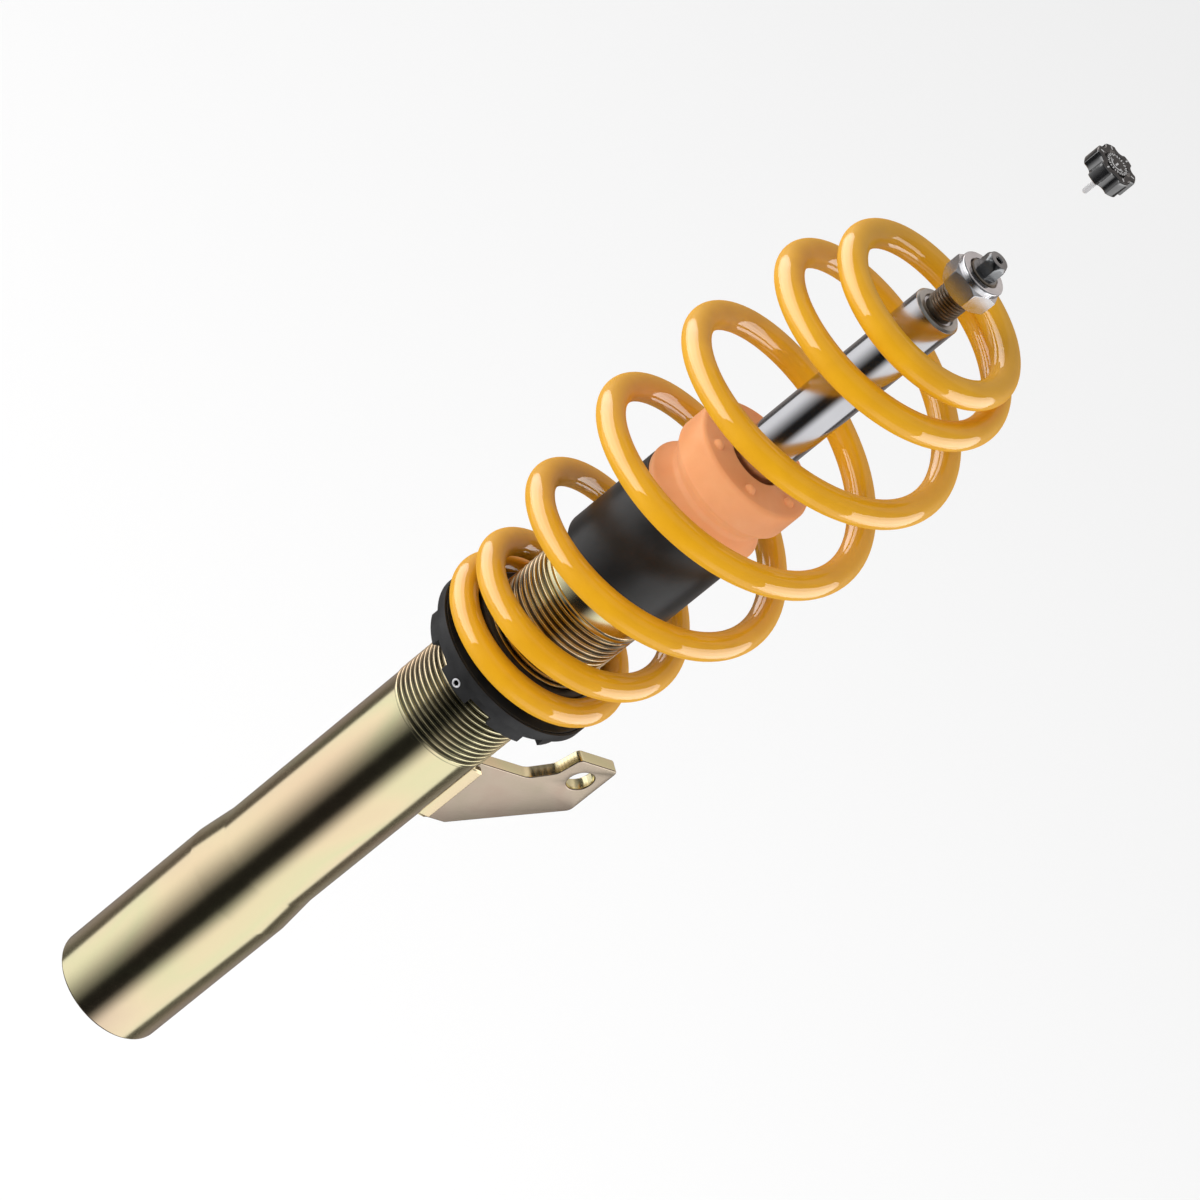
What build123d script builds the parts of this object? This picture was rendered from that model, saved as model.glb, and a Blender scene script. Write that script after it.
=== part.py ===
from build123d import *
import os
from math import asin, cos, degrees, radians, sin

# A front-strut coilover: threaded strut housing, height collar and seat, barrel spring,
# hollow piston rod with a damping adjuster, and the loose knob that turns the adjuster.
# Millimetres. +Z runs up the strut; the origin is the centre of the housing's bottom end.

# ---- driving dimensions: strut housing ----
clamp_r = 27.5            # the 55 mm clamp seat for the steering knuckle
clamp_top = 90.5
taper_top = 111.0
body_r = 25.6
housing_bore_r = 23.0
rim_chamfer = 0.5
ramp_bottom = 220.0       # the body swells up to the thread's crest here
thread_bottom = 224.5
thread_top = 319.0
thread_pitch = 3.0
thread_r = 26.0
thread_root_r = 25.0
neck_r = 24.9
housing_top = 340.0
bottom_cap_thickness = 7.0

# ---- driving dimensions: drop-link bracket ----
plate_thickness = 6.0
plate_offset = 15.0       # from the strut's axis to the plate's front face
plate_turn = 50.0         # bearing of the plate's front normal, from -Y towards +X
plate_bottom = 176.8
plate_top = 218.0
foot_out = 37.8           # the plate's lower edge leaves the level here, out from the strut
link_hole_r = 6.1
link_hole_out = 73.3
link_hole_height = 225.4
hook_wall = 11.3          # from the hole's centre to the hook's outer edge
hook_top = 237.7
hook_inner_out = 62.6
throat_out = 59.8         # foot of the hook's inner edge
throat_height = 225.8
valley_out = 49.5
weld_margin = 1.4         # the weld starts above the plate's lower corner
weld_leg = 5.6

# ---- driving dimensions: collar, seat and spring ----
collar_bottom = 259.5
collar_neck_r = 37.2
flange_bottom = 267.9
flange_r = 41.0
seat_floor = 271.4        # floor of the collar's recess
collar_top = 272.9
collar_bore_r = 26.05
slot_count = 8
slot_height = 3.9
slot_width = 11.9
tooth_bearing = -10.0     # bearing of the tooth that holds the set screw
set_screw_height = 262.4
set_screw_r = 2.0
seat_bore_r = 26.6
seat_lip_r = 30.8
seat_lip_top = 286.0
seat_flange_r = 39.5
wire_r = 6.0
spring_start_height = 279.0
coil_first_turn = -0.25
coil_last_turn = 6.75
coil_end_r = 37.9
coil_middle_r = 55.8
coil_end_pitch = 6.4
coil_middle_pitch = 50.8

# ---- driving dimensions: damper internals ----
cylinder_bore_r = 16.0
cylinder_r = 17.5
cylinder_bottom = 22.0
cylinder_top = 310.0
valve_bottom = 14.0       # the base valve's foot stands on the bottom cap below this
valve_top = 30.0
valve_port_circle_r = 9.5
valve_port_r = 1.6
rivet_r = 3.0
rivet_head_r = 5.0
guide_bottom = 303.5
guide_top = 326.0
bush_wall = 1.45
o_ring_bottom = 317.1
o_ring_top = 318.9
o_ring_inner_r = 21.4
seal_top = 332.0
gland_top = 343.0
rod_r = 11.0
rod_bottom = 242.0
rod_shoulder = 272.0      # the piston stack clamps against this step
rod_stud_r = 6.0
rod_bore_r = 2.5
rebound_ring_bottom = 286.0
rebound_ring_top = 290.5
rebound_ring_r = 15.0
rod_top_face = 521.8
top_stud_r = 6.9          # the M14 thread's crest
top_stud_end = 547.6
tip_hex_flats = 9.2
tip_end = 555.6
tip_hole_r = 1.5
piston_top = 268.8
piston_bottom = 256.8
piston_r = 15.85
piston_port_circle_r = 10.0
piston_port_r = 1.4
ring_bottom = 260.0
ring_top = 265.0
ring_inner_r = 14.45
running_gap = 0.05
shim_thickness = 0.3
shim_count = 4
shim_step = 1.2           # each shim of a stack is this much smaller in radius
piston_shim_r = 13.4
valve_shim_r = 13.0

# ---- driving dimensions: dust tube, bump stop, lock nut, knob ----
dust_bottom = 334.0
dust_top = 383.0
dust_r = 28.2
dust_bore_r = 26.5
bump_bottom = 343.6
bump_top = 417.0
bump_bore_r = 12.5
bump_skirt_end_r = 23.4
bump_lobe_r = 28.5
bump_lobe_end = 388.6     # the lobe's outline turns in to the waist here
bump_waist_r = 24.2
bump_waist = 394.6
bump_ring_r = 28.8
bump_ring_bottom = 400.2
nub_count = 6
nub_r = 2.0
nub_circle_r = 21.9
nub_bearing = -38.8
nut_bottom = 534.5
nut_hex_top = 544.0
nut_top = 547.0
nut_flats = 21.0
nut_collar_r = 10.5
nut_turn = 22.0            # bearing of one of the nut's corners
key_flats = 2.0
key_socket_flats = 2.1
key_socket_depth = 10.0
key_bottom = 601.6
knob_bottom = 611.6
knob_top = 619.9
knob_r = 10.0
knob_lobes = 6

os.makedirs("parts", exist_ok=True)


def save(node, shape):
    export_step(shape, f"parts/{node}.step")


def turned(points):
    """A solid of revolution from a closed (radius, height) outline, joined by straight lines."""
    with BuildPart() as part:
        with BuildSketch(Plane.XZ):
            with BuildLine():
                Polyline(*points, close=True)
            make_face()
        revolve(axis=Axis.Z)
    return part.part


def ring(inner_r, outer_r, bottom, top):
    """A plain tube, washer or, with no inner radius, a disc."""
    return turned([(inner_r, bottom), (outer_r, bottom), (outer_r, top), (inner_r, top)])


def hex_bar(flats, bottom, top, turn=0.0):
    """A hexagonal bar about the strut's axis."""
    with BuildPart() as part:
        with BuildSketch(Plane.XY.offset(bottom)):
            RegularPolygon(radius=flats / 2, side_count=6, major_radius=False, rotation=turn)
        extrude(amount=top - bottom)
    return part.part


def bearing_point(radius, bearing, height):
    """A point at a bearing measured from -Y towards +X."""
    return (radius * sin(radians(bearing)), -radius * cos(radians(bearing)), height)


def outward_rod(radius, bearing, height, inner, outer):
    """A round bar that points straight out from the strut's axis at a bearing."""
    start = Vector(*bearing_point(inner, bearing, height))
    direction = Vector(*bearing_point(1.0, bearing, 0.0))
    return Solid.make_cylinder(radius, outer - inner, Plane(origin=start, z_dir=direction))


def ring_of(shape, count, first_bearing=0.0):
    """Copies of a shape, spaced evenly round the strut's axis."""
    return [shape.rotate(Axis.Z, first_bearing + i * 360.0 / count) for i in range(count)]


# ---- strut housing: swaged tube with ring ridges at the thread's pitch ----
def housing_tube():
    crest = 0.42 * thread_pitch
    flank = 0.18 * thread_pitch
    outline = [
        (housing_bore_r, 0.0),
        (clamp_r - rim_chamfer, 0.0),
        (clamp_r, rim_chamfer),
        (clamp_r, clamp_top),
        (body_r, taper_top),
        (body_r, ramp_bottom),
        (thread_r, ramp_bottom + 2.5),
        (thread_r, thread_bottom),
    ]
    ridges = int((thread_top - thread_bottom) / thread_pitch)
    for i in range(ridges):
        z = thread_bottom + i * thread_pitch
        outline += [
            (thread_root_r, z + flank),
            (thread_root_r, z + thread_pitch - crest - flank),
            (thread_r, z + thread_pitch - crest),
            (thread_r, z + thread_pitch),
        ]
    last = thread_bottom + ridges * thread_pitch
    outline += [
        (neck_r, last + 1.6),
        (neck_r, housing_top - 1.0),
        (neck_r - 1.0, housing_top),
        (housing_bore_r, housing_top),
    ]
    return turned(outline)


def bottom_cap():
    edge = housing_bore_r
    return turned([
        (0.0, 2.0), (edge - 4.0, 2.0), (edge - 2.0, 1.0), (edge, 1.0),
        (edge, bottom_cap_thickness), (0.0, bottom_cap_thickness),
    ])


# ---- bracket: one laser-cut plate with a hook, and the fillet weld along its root ----
plate_front = Plane(
    origin=bearing_point(plate_offset, plate_turn, 0.0),
    x_dir=bearing_point(1.0, plate_turn + 90.0, 0.0),
    z_dir=bearing_point(1.0, plate_turn, 0.0),
)
# plate coordinates: out from the strut, and up; the plane's local Y turns out as +Z
plate_up = 1.0 if plate_front.y_dir.Z > 0 else -1.0
root_out = (body_r ** 2 - plate_offset ** 2) ** 0.5
buried_root = root_out - 2.4


def bracket_plate():
    hook_out = link_hole_out + hook_wall
    chin = (hook_out, link_hole_height - 19.0)
    hook_corners = [(hook_out, hook_top), (hook_inner_out, hook_top)]
    valley = [(throat_out, throat_height), (valley_out, plate_top)]
    outline = [
        (buried_root, plate_bottom),
        (foot_out, plate_bottom),
        chin,
        *hook_corners,
        *valley,
        (buried_root, plate_top),
    ]
    with BuildPart() as part:
        with BuildSketch(plate_front) as face:
            with BuildLine():
                Polyline(*[(out, plate_up * up) for out, up in outline], close=True)
            make_face()
            for group, radius in ((valley, 6.0), ([chin], 4.0), (hook_corners, 1.8)):
                corners = [face.vertices().sort_by_distance((out, plate_up * up))[0] for out, up in group]
                fillet(corners, radius=radius)
            with Locations((link_hole_out, plate_up * link_hole_height)):
                Circle(link_hole_r, mode=Mode.SUBTRACT)
        extrude(amount=-plate_thickness)
    tube = Solid.make_cylinder(body_r, housing_top)
    return part.part - tube


def bracket_weld():
    """A fillet weld: a bar in the corner between the tube and the plate's front."""
    foot = Vector(*bearing_point(plate_offset, plate_turn, 0.0))
    outward = Vector(*bearing_point(1.0, plate_turn + 90.0, 0.0))
    root_bearing = plate_turn + 90.0 - degrees(asin(plate_offset / body_r))
    corners = [
        foot + outward * (root_out + weld_leg),
        Vector(*bearing_point(body_r, root_bearing - degrees(weld_leg / body_r), 0.0)),
        Vector(*bearing_point(body_r - 3.0, root_bearing - 6.0, 0.0)),
        foot + outward * buried_root,
    ]
    with BuildPart() as part:
        with BuildSketch(Plane.XY.offset(plate_bottom + weld_margin)):
            with BuildLine():
                Polyline(*corners, close=True)
            make_face()
        extrude(amount=plate_top - plate_bottom - 3.0 * weld_margin)
    return part.part - Solid.make_cylinder(body_r, housing_top)


# ---- collar, set screw and spring seat ----
def adjuster_collar():
    body = turned([
        (collar_bore_r, collar_bottom),
        (collar_neck_r - 0.6, collar_bottom),
        (collar_neck_r, collar_bottom + 0.6),
        (collar_neck_r, flange_bottom),
        (flange_r, flange_bottom + 0.8),
        (flange_r, collar_top - 0.6),
        (flange_r - 0.6, collar_top),
        (seat_flange_r + 0.35, collar_top),
        (seat_flange_r + 0.35, seat_floor),
        (collar_bore_r, seat_floor),
    ])
    slot = Box(slot_width, collar_neck_r, 2 * slot_height).moved(
        Location((0, -collar_neck_r, collar_bottom)))
    slot_bearing = tooth_bearing + 180.0 / slot_count
    for cutter in ring_of(slot, slot_count, slot_bearing):
        body -= cutter
    return body - outward_rod(set_screw_r, tooth_bearing, set_screw_height, 20.0, 40.0)


def collar_set_screw():
    screw = outward_rod(set_screw_r, tooth_bearing, set_screw_height, 29.0, collar_neck_r - 0.4)
    socket = outward_rod(0.95, tooth_bearing, set_screw_height, collar_neck_r - 2.6, collar_neck_r)
    return screw - socket


def collar_brass_pad():
    return outward_rod(set_screw_r - 0.1, tooth_bearing, set_screw_height, 26.3, 28.9)


def spring_seat_ring():
    return turned([
        (seat_bore_r, seat_floor + 0.1),
        (seat_flange_r, seat_floor + 0.1),
        (seat_flange_r, collar_top),
        (seat_lip_r + 0.5, collar_top),
        (seat_lip_r, collar_top + 0.5),
        (seat_lip_r, seat_lip_top - 1.0),
        (seat_lip_r - 1.0, seat_lip_top),
        (seat_bore_r + 0.6, seat_lip_top),
        (seat_bore_r, seat_lip_top - 0.6),
    ])


# ---- spring: closed ends, an open middle and a barrel shape ----
def ease(x):
    x = min(max(x, 0.0), 1.0)
    return x * x * (3.0 - 2.0 * x)


def middle_share(turn, foot_start, foot_end, head_start, head_end):
    rising = ease((turn - foot_start) / (foot_end - foot_start))
    return rising * ease((head_end - turn) / (head_end - head_start))


def coil_radius(turn):
    return coil_end_r + (coil_middle_r - coil_end_r) * middle_share(turn, 0.6, 3.15, 4.2, 6.65)


def coil_pitch(turn):
    extra = coil_middle_pitch - coil_end_pitch
    return coil_end_pitch + extra * middle_share(turn, -0.3, 2.33, 4.4, 6.5)


def coil_path(steps_per_turn=16):
    """Points down the middle of the wire, from the seat to the upper end."""
    count = round((coil_last_turn - coil_first_turn) * steps_per_turn)
    height = spring_start_height
    points = []
    for i in range(count + 1):
        turn = coil_first_turn + i / steps_per_turn
        bearing = -90.0 + 360.0 * turn
        points.append(bearing_point(coil_radius(turn), bearing, height))
        height += coil_pitch(turn + 0.5 / steps_per_turn) / steps_per_turn
    return points


def coil_spring():
    points = coil_path()
    with BuildPart() as part:
        with BuildLine() as path:
            Spline(*points)
        with BuildSketch(Plane(origin=path.line @ 0, z_dir=path.line % 0)):
            Circle(wire_r)
        sweep(path=path.line, is_frenet=True)
    return part.part


# ---- damper: inner cylinder, base valve, guide, seal, gland ----
def base_valve_body():
    spigot_r = cylinder_bore_r - 0.1
    shoulder_r = cylinder_r - 0.1
    body = turned([
        (rivet_r, valve_bottom), (shoulder_r, valve_bottom), (shoulder_r, cylinder_bottom),
        (spigot_r, cylinder_bottom), (spigot_r, valve_top), (rivet_r, valve_top),
    ])
    foot = ring(12.0, 16.0, bottom_cap_thickness, valve_bottom)
    foot_gap = Box(60.0, 6.0, 4.0).moved(Location((0, 0, bottom_cap_thickness + 2.0)))
    foot = foot - foot_gap - foot_gap.rotate(Axis.Z, 90.0)
    body = body + foot
    port = Solid.make_cylinder(valve_port_r, valve_top + 1.0).moved(Location((valve_port_circle_r, 0, 0)))
    for cutter in ring_of(port, 6):
        body -= cutter
    return body


def shim_stack(inner_r, outer_r, bottom):
    discs = []
    for i in range(shim_count):
        z = bottom + i * shim_thickness
        discs.append(ring(inner_r, outer_r - shim_step * i, z, z + shim_thickness))
    return Compound(children=discs)


def base_valve_rivet():
    head_bottom = valve_bottom - 2.5
    shims_top = valve_top + shim_count * shim_thickness
    return turned([
        (0.0, head_bottom), (rivet_head_r, head_bottom), (rivet_head_r, valve_bottom),
        (rivet_r, valve_bottom), (rivet_r, shims_top), (rivet_head_r, shims_top),
        (rivet_head_r - 1.0, shims_top + 2.4), (0.0, shims_top + 2.4),
    ])


def rod_guide():
    bore_r = rod_r + running_gap + bush_wall
    spigot_r = cylinder_bore_r - 0.1
    body_outer_r = housing_bore_r - 0.1
    groove = 0.1
    return turned([
        (bore_r, guide_bottom), (spigot_r, guide_bottom), (spigot_r, cylinder_top),
        (body_outer_r, cylinder_top), (body_outer_r, o_ring_bottom - groove),
        (o_ring_inner_r, o_ring_bottom - groove), (o_ring_inner_r, o_ring_top + groove),
        (body_outer_r, o_ring_top + groove), (body_outer_r, guide_top), (bore_r, guide_top),
    ])


def guide_bush():
    inner_r = rod_r + running_gap
    return ring(inner_r, inner_r + bush_wall, guide_bottom + 1.5, guide_top - 2.0)


def gland_nut():
    bore_r = rod_r + 0.6
    thread_outer_r = housing_bore_r - 0.1
    body = turned([
        (bore_r, seal_top), (thread_outer_r, seal_top), (thread_outer_r, housing_top),
        (neck_r, housing_top), (neck_r, gland_top - 0.8), (neck_r - 0.8, gland_top),
        (bore_r + 0.6, gland_top), (bore_r, gland_top - 0.6),
    ])
    key_hole = Solid.make_cylinder(1.6, 6.0).moved(Location((17.5, 0, gland_top - 4.0)))
    for cutter in ring_of(key_hole, 4):
        body -= cutter
    return body


# ---- piston rod and piston ----
def piston_rod():
    body = turned([
        (rod_bore_r, rod_bottom), (rod_stud_r - 0.6, rod_bottom), (rod_stud_r, rod_bottom + 0.6),
        (rod_stud_r, rod_shoulder), (rod_r, rod_shoulder),
        (rod_r, rod_top_face - 1.1), (rod_r - 0.9, rod_top_face),
        (top_stud_r + 0.7, rod_top_face), (top_stud_r + 0.3, rod_top_face - 1.2),
        (top_stud_r - 0.6, rod_top_face - 1.2), (top_stud_r - 0.6, rod_top_face + 1.4),
        (top_stud_r, rod_top_face + 2.2), (top_stud_r, top_stud_end - 1.0),
        (top_stud_r - 1.0, top_stud_end), (rod_bore_r, top_stud_end),
    ])
    tip = hex_bar(tip_hex_flats, top_stud_end, tip_end) & turned([
        (0.0, top_stud_end), (6.0, top_stud_end), (6.0, tip_end - 3.0), (5.1, tip_end - 1.9),
        (4.1, tip_end), (0.0, tip_end),
    ])
    tip -= Solid.make_cylinder(rod_bore_r, tip_end - 3.4)
    tip -= Solid.make_cylinder(tip_hole_r, tip_end + 1.0)
    body = body + tip
    bleed = Solid.make_cylinder(1.2, 40.0, Plane(origin=(-20.0, 0, rod_shoulder + 8.0), z_dir=(1, 0, 0)))
    return body - bleed


def adjuster_needle():
    needle_top = tip_end - 3.7
    slim_r = rod_bore_r - 0.7
    guide_r = rod_bore_r - running_gap
    body = turned([
        (0.0, rod_bottom + 4.0), (0.8, rod_bottom + 4.0), (guide_r, rod_bottom + 9.0),
        (guide_r, rod_bottom + 22.0), (slim_r, rod_bottom + 23.0), (slim_r, needle_top - 19.0),
        (guide_r, needle_top - 18.0), (guide_r, needle_top), (0.0, needle_top),
    ])
    return body - hex_bar(key_socket_flats, needle_top - key_socket_depth, needle_top + 1.0)


def damper_piston():
    body = turned([
        (rod_stud_r, piston_bottom), (piston_r - 0.6, piston_bottom), (piston_r, piston_bottom + 0.6),
        (piston_r, ring_bottom - running_gap), (ring_inner_r - running_gap, ring_bottom - running_gap),
        (ring_inner_r - running_gap, ring_top + running_gap), (piston_r, ring_top + running_gap),
        (piston_r, piston_top - 0.6), (piston_r - 0.6, piston_top), (rod_stud_r, piston_top),
    ])
    port = Solid.make_cylinder(piston_port_r, 40.0).moved(
        Location((piston_port_circle_r, 0, piston_bottom - 10.0)))
    for cutter in ring_of(port, 6):
        body -= cutter
    return body


def piston_ring():
    return ring(ring_inner_r, cylinder_bore_r - running_gap, ring_bottom, ring_top)


def piston_nut():
    bottom = rod_bottom + 2.0
    top = piston_bottom - shim_count * shim_thickness
    return hex_bar(17.0, bottom, top) - Solid.make_cylinder(rod_stud_r, housing_top)


def lower_shims():
    return shim_stack(rod_stud_r, piston_shim_r, piston_bottom - shim_count * shim_thickness)


def upper_washer():
    return ring(rod_stud_r, piston_shim_r - 0.4, piston_top + shim_count * shim_thickness, rod_shoulder)


# ---- outside pieces on the rod ----
def dust_tube():
    return turned([
        (dust_bore_r, dust_bottom), (dust_r - 0.5, dust_bottom), (dust_r, dust_bottom + 0.5),
        (dust_r, dust_top - 0.4), (dust_r - 0.4, dust_top), (dust_bore_r, dust_top),
    ])


def bump_stop():
    skirt_r = dust_bore_r - 0.05
    lip = (dust_r - 0.6, dust_top + 0.1)
    lobe_end = (bump_lobe_r - 1.5, bump_lobe_end)
    waist_in = (bump_waist_r + 0.7, bump_waist - 2.2)
    waist_out = (bump_waist_r + 0.7, bump_waist + 2.2)
    ring_start = (bump_ring_r - 1.2, bump_ring_bottom)
    ring_shoulder = (bump_ring_r, bump_ring_bottom + 2.4)
    with BuildPart() as part:
        with BuildSketch(Plane.XZ):
            with BuildLine():
                Polyline((bump_bore_r, bump_bottom), (bump_skirt_end_r, bump_bottom),
                         (skirt_r, bump_bottom + 4.0), (skirt_r, dust_top + 0.1), lip)
                ThreePointArc(lip, (bump_lobe_r, dust_top + 3.0), lobe_end)
                Line(lobe_end, waist_in)
                ThreePointArc(waist_in, (bump_waist_r, bump_waist), waist_out)
                Line(waist_out, ring_start)
                ThreePointArc(ring_start, (bump_ring_r - 0.3, bump_ring_bottom + 1.0), ring_shoulder)
                Polyline(ring_shoulder, (bump_ring_r, bump_top - 1.9), (bump_ring_r - 1.7, bump_top),
                         (bump_bore_r + 0.8, bump_top), (bump_bore_r, bump_top - 0.8),
                         (bump_bore_r, bump_bottom))
            make_face()
        revolve(axis=Axis.Z)
    body = part.part
    nub = Solid.make_sphere(nub_r).moved(Location((0, -nub_circle_r, bump_top - 0.6)))
    for knob in ring_of(nub, nub_count, nub_bearing):
        body += knob
    return body


def top_lock_nut():
    hexagon = hex_bar(nut_flats, nut_bottom, nut_hex_top, nut_turn) & turned([
        (0.0, nut_bottom), (nut_collar_r + 0.4, nut_bottom), (nut_collar_r + 2.2, nut_bottom + 1.0),
        (nut_collar_r + 2.2, nut_hex_top - 1.0), (nut_collar_r + 0.2, nut_hex_top), (0.0, nut_hex_top),
    ])
    collar = turned([
        (0.0, nut_hex_top), (nut_collar_r, nut_hex_top), (nut_collar_r, nut_top - 0.5),
        (nut_collar_r - 0.5, nut_top), (0.0, nut_top),
    ])
    return hexagon + collar - Solid.make_cylinder(top_stud_r, nut_top + 1.0)


# ---- loose adjuster knob ----
def knob_body():
    body = ring(0.0, knob_r, knob_bottom, knob_top)
    scallop = Solid.make_cylinder(3.3, 20.0).moved(Location((0, -knob_r - 1.5, knob_bottom - 5.0)))
    for cutter in ring_of(scallop, knob_lobes, 180.0 / knob_lobes):
        body -= cutter
    body = fillet(body.edges().filter_by(GeomType.CIRCLE).filter_by(
        lambda edge: abs(edge.center().Z - knob_top) < 0.01), 0.7)
    body -= ring(0.0, 5.6, knob_top - 0.8, knob_top + 1.0)
    return body - hex_bar(key_flats, knob_bottom - 1.0, knob_top - 2.0)


def knob_face_insert():
    return ring(0.0, 5.5, knob_top - 0.8, knob_top - 0.1)


def knob_key():
    return hex_bar(key_flats, key_bottom, knob_top - 2.0)


pieces = {
    "strut_housing_tube": housing_tube,
    "bottom_cap": bottom_cap,
    "bracket_plate": bracket_plate,
    "bracket_weld": bracket_weld,
    "adjuster_collar": adjuster_collar,
    "collar_set_screw": collar_set_screw,
    "collar_brass_pad": collar_brass_pad,
    "spring_seat_ring": spring_seat_ring,
    "coil_spring": coil_spring,
    "inner_cylinder": lambda: ring(cylinder_bore_r, cylinder_r, cylinder_bottom, cylinder_top),
    "base_valve_body": base_valve_body,
    "base_valve_shims": lambda: shim_stack(rivet_r, valve_shim_r, valve_top),
    "base_valve_rivet": base_valve_rivet,
    "rod_guide": rod_guide,
    "guide_bush": guide_bush,
    "guide_o_ring": lambda: ring(o_ring_inner_r, housing_bore_r - 0.05, o_ring_bottom, o_ring_top),
    "rod_seal": lambda: ring(rod_r + running_gap, housing_bore_r - 0.1, guide_top, seal_top),
    "gland_nut": gland_nut,
    "piston_rod": piston_rod,
    "rebound_stop_ring": lambda: ring(rod_r, rebound_ring_r, rebound_ring_bottom, rebound_ring_top),
    "upper_shims": lambda: shim_stack(rod_stud_r, piston_shim_r, piston_top),
    "shim_washer": upper_washer,
    "damper_piston": damper_piston,
    "piston_ring": piston_ring,
    "lower_shims": lower_shims,
    "piston_nut": piston_nut,
    "adjuster_needle": adjuster_needle,
    "dust_tube": dust_tube,
    "bump_stop": bump_stop,
    "top_lock_nut": top_lock_nut,
    "knob_body": knob_body,
    "knob_face_insert": knob_face_insert,
    "knob_key": knob_key,
}

for node, make in pieces.items():
    save(node, make())
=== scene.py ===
from math import asin, cos, degrees, pi, radians, sin, sqrt, tan

import bmesh
import bpy
import numpy as np
from mathutils import Matrix, Vector


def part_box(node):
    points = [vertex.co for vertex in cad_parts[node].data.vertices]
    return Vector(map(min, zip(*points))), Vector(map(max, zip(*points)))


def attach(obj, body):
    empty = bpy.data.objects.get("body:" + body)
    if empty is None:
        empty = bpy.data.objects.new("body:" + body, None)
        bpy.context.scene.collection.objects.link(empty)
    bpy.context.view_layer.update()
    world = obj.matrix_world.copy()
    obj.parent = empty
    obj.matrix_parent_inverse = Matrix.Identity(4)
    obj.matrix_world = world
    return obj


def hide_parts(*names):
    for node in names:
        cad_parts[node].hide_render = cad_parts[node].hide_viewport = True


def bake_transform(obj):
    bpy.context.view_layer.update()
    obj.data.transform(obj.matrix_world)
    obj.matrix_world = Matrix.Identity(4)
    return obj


# A front-strut coilover, stood upright on +Z. The frame is in metres; outlines here are written in
# millimetres, and `mm` turns them into metres. Bearings run from -Y (the viewer's side) towards +X.
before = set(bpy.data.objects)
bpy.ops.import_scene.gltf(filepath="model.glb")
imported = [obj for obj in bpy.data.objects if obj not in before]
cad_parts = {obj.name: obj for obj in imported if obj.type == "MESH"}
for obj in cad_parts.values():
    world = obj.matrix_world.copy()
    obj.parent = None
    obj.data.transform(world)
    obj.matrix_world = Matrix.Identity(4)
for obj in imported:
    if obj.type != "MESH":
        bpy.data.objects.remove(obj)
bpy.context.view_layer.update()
mm = 0.001


# ---- sizes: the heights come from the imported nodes, the rest are the design's own numbers ----
def span(node):
    """(bottom, top, outer radius) of a turned node, in millimetres."""
    low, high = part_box(node)
    return low.z / mm, high.z / mm, max(high.x, -low.x) / mm


tube_bottom, tube_top, clamp_r = span("strut_housing_tube")
collar_bottom, collar_top, flange_r = span("adjuster_collar")
seat_bottom, lip_top, seat_r = span("spring_seat_ring")
dust_bottom, dust_top, dust_r = span("dust_tube")
bump_bottom, _, bump_r = span("bump_stop")
rod_bottom, tip_top, rod_r = span("piston_rod")
nut_bottom, nut_top, _ = span("top_lock_nut")
knob_bottom, knob_top, _ = span("knob_body")
key_bottom, _, _ = span("knob_key")
plate_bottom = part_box("bracket_plate")[0].z / mm

# the housing
housing_bore_r = 23.0
body_r = 25.6
neck_r = 24.9
clamp_top = 90.5
taper_top = 111.0
ramp_bottom = 222.9
ramp_top = 224.1
thread_bottom = 224.5
thread_top = 319.0
thread_pitch = 3.0
thread_r = 26.0
thread_depth = 1.15

# the bracket: "out" runs from the strut's axis along its plate
plate_thickness = 6.0
plate_offset = 15.0
plate_turn = 50.0
plate_top = 218.0
plate_foot_out = 37.8
plate_shelf_out = 49.5
plate_tip_out = 84.6
plate_tip_bottom = 206.4
plate_edge_round = 0.7
notch_out = 59.8
notch_height = 225.8
hook_out = 62.6
hook_top = 237.7
link_hole_r = 6.1
link_hole_out = 73.3
link_hole_height = 225.4
weld_leg = 5.6

# the collar, its screw and the spring's seat
collar_neck_r = 37.2
collar_bore_r = 26.05
flange_bottom = 267.9
slot_count = 8
slot_width = 11.9
slot_height = 3.9
tooth_bearing = -10.0
set_screw_height = 262.4
set_screw_r = 2.0
set_screw_root = 29.0
set_screw_socket_r = 1.1
seat_lip_r = 30.8
seat_bore_r = 26.6

# the spring; pairs of turns say where it grows from its end size to its middle size and shrinks again
wire_r = 6.0
wire_chamfer = 0.5
coil_first_turn = -0.25
coil_last_turn = 6.75
coil_start_height = 279.0
coil_end_r = 37.9
coil_middle_r = 55.8
coil_radius_grows = (0.6, 3.15)
coil_radius_shrinks = (4.2, 6.65)
coil_end_pitch = 6.4
coil_middle_pitch = 50.8
coil_pitch_grows = (-0.3, 2.33)
coil_pitch_shrinks = (4.4, 6.5)

# the dust tube and the bump stop
dust_bore_r = 26.5
bump_top = 417.0
bump_bore_r = 12.5
bump_skirt_r = 26.4
bump_waist_height = 394.6
bump_waist_r = 24.0
nub_count = 6
nub_r = 2.3
nub_height = 2.1
nub_circle_r = 21.9
nub_bearing = -38.8

# the rod, its stud and the nut
rod_bore_r = 2.5
rod_stud_r = 6.0
piston_shoulder = 272.0
rod_face = 521.8
relief_depth = 0.75
relief_reach = 1.2
stud_r = 6.9
stud_pitch = 1.5
stud_thread_depth = 0.78
stud_end = 547.6
tip_r = 5.6
tip_flats = 9.2
tip_turn = 20.0
tip_bore_r = 1.5
nut_flats = 21.0
nut_turn = 22.0
nut_hex_top = nut_top - 3.0
nut_collar_r = 10.5
nut_bore_r = stud_r + 0.02

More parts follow.
